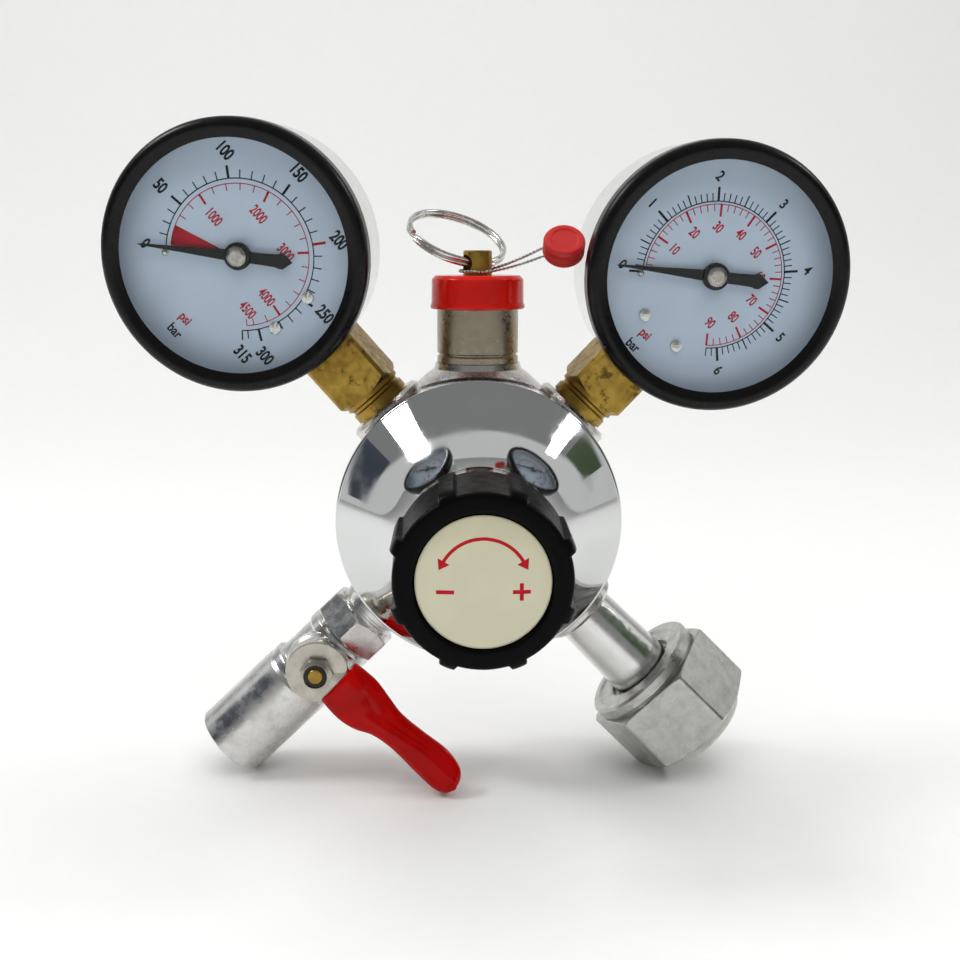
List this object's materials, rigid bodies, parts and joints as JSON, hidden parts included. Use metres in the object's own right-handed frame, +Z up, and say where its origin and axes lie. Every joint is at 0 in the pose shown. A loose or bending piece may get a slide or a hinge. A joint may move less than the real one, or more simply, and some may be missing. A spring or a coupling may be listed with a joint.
{
  "type": "carbon dioxide regulator",
  "caption": "Gas bottle regulator with two dial gauges, bell-shaped bonnet and knob, relief valve with pull ring, inlet nut and an outlet ball valve with a lever.",
  "frame": {"origin": "on the ground under the middle of the whole regulator as it stands on its inlet nut, valve end and lever tip", "axes": "+X to the right towards the low-pressure gauge, +Y away from the adjusting knob, +Z up"},
  "size_m": [0.1698, 0.0892, 0.1565],
  "materials": {
    "plated_body": "satin nickel plate on a brass forging",
    "diaphragm_rubber": "fabric-backed rubber",
    "white_nylon": "natural nylon",
    "brass": "machined brass",
    "chrome": "bright mirror chrome plate",
    "black_plastic": "satin moulded plastic",
    "cream_label": "domed gloss resin",
    "plain_steel": "turned steel",
    "spring_steel": "spring wire",
    "nipple_chrome": "bright plated tube",
    "sintered_bronze": "sintered",
    "nut_plate": "satin plating, mottled and scuffed",
    "guard_plastic": "translucent soft plastic",
    "relief_nickel": "satin nickel plate",
    "red_plastic": "glossy moulded plastic",
    "stem_brass": "turned brass, dulled",
    "seat_rubber": "moulded rubber",
    "ring_steel": "polished spring steel",
    "seal_plastic": "matt moulded plastic",
    "wire_steel": "thin twisted steel wire",
    "valve_metal": "satin nickel over cast brass",
    "ball_chrome": "polished hard chrome",
    "lever_steel": "nickel plated pressed steel",
    "red_vinyl": "dipped vinyl",
    "socket_brass": "raw brass with brown patina",
    "case_steel": "bright plated pressed steel",
    "bezel_black": "satin black enamel",
    "clear_lens": "clear acrylic window",
    "dial_paint": "matt printed dial",
    "dial_screw_steel": "nickel plated steel",
    "pointer_black": "black enamel",
    "pinion_nickel": "nickel plated",
    "tube_bronze": "drawn bronze"
  },
  "bodies": {
    "regulator": {"regulator_body": "plated_body", "diaphragm": "diaphragm_rubber", "slip_ring": "white_nylon", "bonnet": "chrome", "range_spring": "spring_steel", "seat_nozzle": "brass", "poppet_spring": "spring_steel", "rear_plug": "plated_body", "inlet_nipple": "nipple_chrome", "inlet_filter": "sintered_bronze", "inlet_washer": "white_nylon", "relief_body": "relief_nickel", "relief_cap": "red_plastic", "relief_spring": "spring_steel", "valve_connector": "valve_metal", "valve_body": "valve_metal", "ball_seats": "white_nylon", "spindle_packing": "white_nylon", "high_socket": "socket_brass", "high_case": "case_steel", "high_bezel": "bezel_black", "high_lens": "clear_lens", "high_dial": "dial_paint", "high_dial_screws": "dial_screw_steel", "high_movement_frame": "brass", "high_bourdon_tube": "tube_bronze", "high_link": "plain_steel", "low_socket": "socket_brass", "low_case": "case_steel", "low_bezel": "bezel_black", "low_lens": "clear_lens", "low_dial": "dial_paint", "low_dial_screws": "dial_screw_steel", "low_movement_frame": "brass", "low_bourdon_tube": "tube_bronze", "low_link": "plain_steel"},
    "button": {"spring_button": "plain_steel"},
    "adjuster": {"adjusting_knob": "black_plastic", "knob_label": "cream_label", "adjusting_screw": "plain_steel"},
    "poppet": {"valve_poppet": "brass", "diaphragm_plate": "brass"},
    "nut": {"inlet_nut": "nut_plate"},
    "guard": {"thread_guard": "guard_plastic"},
    "relief": {"relief_stem": "stem_brass", "relief_seat": "seat_rubber"},
    "ring": {"split_ring": "ring_steel"},
    "seal": {"seal_wire": "wire_steel", "tamper_seal": "seal_plastic"},
    "lever": {"valve_lever": "lever_steel", "lever_grip": "red_vinyl", "lever_nut": "lever_steel", "valve_spindle": "brass", "valve_ball": "ball_chrome"},
    "high_pointer_body": {"high_pointer": "pointer_black", "high_pinion": "pinion_nickel"},
    "high_sector_body": {"high_sector": "brass"},
    "low_pointer_body": {"low_pointer": "pointer_black", "low_pinion": "pinion_nickel"},
    "low_sector_body": {"low_sector": "brass"}
  },
  "joints": [
    {"name": "screw_advance", "type": "slide", "parent": "regulator", "child": "button", "axis": [0, 1, 0], "range_m": [0, 0.00375], "deforming": ["range_spring"]},
    {"name": "knob_turn", "type": "hinge", "parent": "button", "child": "adjuster", "pos_m": [0.00006, -0.03378, 0.0655], "axis": [0, 1, 0], "range_deg": [0, 1080]},
    {"name": "poppet_slide", "type": "slide", "parent": "regulator", "child": "poppet", "axis": [0, 1, 0], "range_m": [0, 0.0008], "stiffness_N_per_m": 1500, "springref_m": -0.001, "deforming": ["poppet_spring", "diaphragm"]},
    {"name": "nut_spin", "type": "hinge", "parent": "regulator", "child": "nut", "pos_m": [0.04515, 0.02422, 0.02009], "axis": [0.7046, 0, -0.7096], "continuous": true},
    {"name": "guard_pull", "type": "slide", "parent": "nut", "child": "guard", "axis": [0.7046, 0, -0.7096], "range_m": [0, 0.02]},
    {"name": "relief_pull", "type": "slide", "parent": "regulator", "child": "relief", "axis": [0, 0, 1], "range_m": [0, 0.003], "stiffness_N_per_m": 800, "springref_m": -0.004, "deforming": ["relief_spring"]},
    {"name": "ring_swing", "type": "hinge", "parent": "relief", "child": "ring", "pos_m": [0.00006, 0.02422, 0.1238], "axis": [0.8631, 0.5051, 0], "range_deg": [-30, 80]},
    {"name": "seal_swing", "type": "hinge", "parent": "regulator", "child": "seal", "pos_m": [0.00006, 0.02422, 0.1211], "axis": [0, 0, 1], "range_deg": [-110, 0]},
    {"name": "lever_turn", "type": "hinge", "parent": "regulator", "child": "lever", "pos_m": [-0.0382, 0.02422, 0.02882], "axis": [0, 1, 0], "range_deg": [0, 90]},
    {"name": "high_pointer_turn", "type": "hinge", "parent": "regulator", "child": "high_pointer_body", "pos_m": [-0.0535, 0.02422, 0.12621], "axis": [0.1073, 0.9897, 0.0947], "range_deg": [0, 266], "stiffness_Nm_per_rad": 0.00005, "springref_deg": -45.84},
    {"name": "high_sector_turn", "type": "hinge", "parent": "regulator", "child": "high_sector_body", "pos_m": [-0.04406, 0.02422, 0.11551], "axis": [0.1073, 0.9897, 0.0947], "range_deg": [-25, 0]},
    {"name": "low_pointer_turn", "type": "hinge", "parent": "regulator", "child": "low_pointer_body", "pos_m": [0.05359, 0.02422, 0.12158], "axis": [-0.0932, 0.9917, 0.0889], "range_deg": [0, 260], "stiffness_Nm_per_rad": 0.00005, "springref_deg": -45.84},
    {"name": "low_sector_turn", "type": "hinge", "parent": "regulator", "child": "low_sector_body", "pos_m": [0.04375, 0.02422, 0.11127], "axis": [-0.0932, 0.9917, 0.0889], "range_deg": [-25, 0]}
  ],
  "couplings": [
    {"joint": "knob_turn", "follows": "screw_advance", "rad_per_m": 5026.5},
    {"joint": "high_sector_turn", "follows": "high_pointer_turn", "ratio": -0.092593},
    {"joint": "low_sector_turn", "follows": "low_pointer_turn", "ratio": -0.092593}
  ]
}
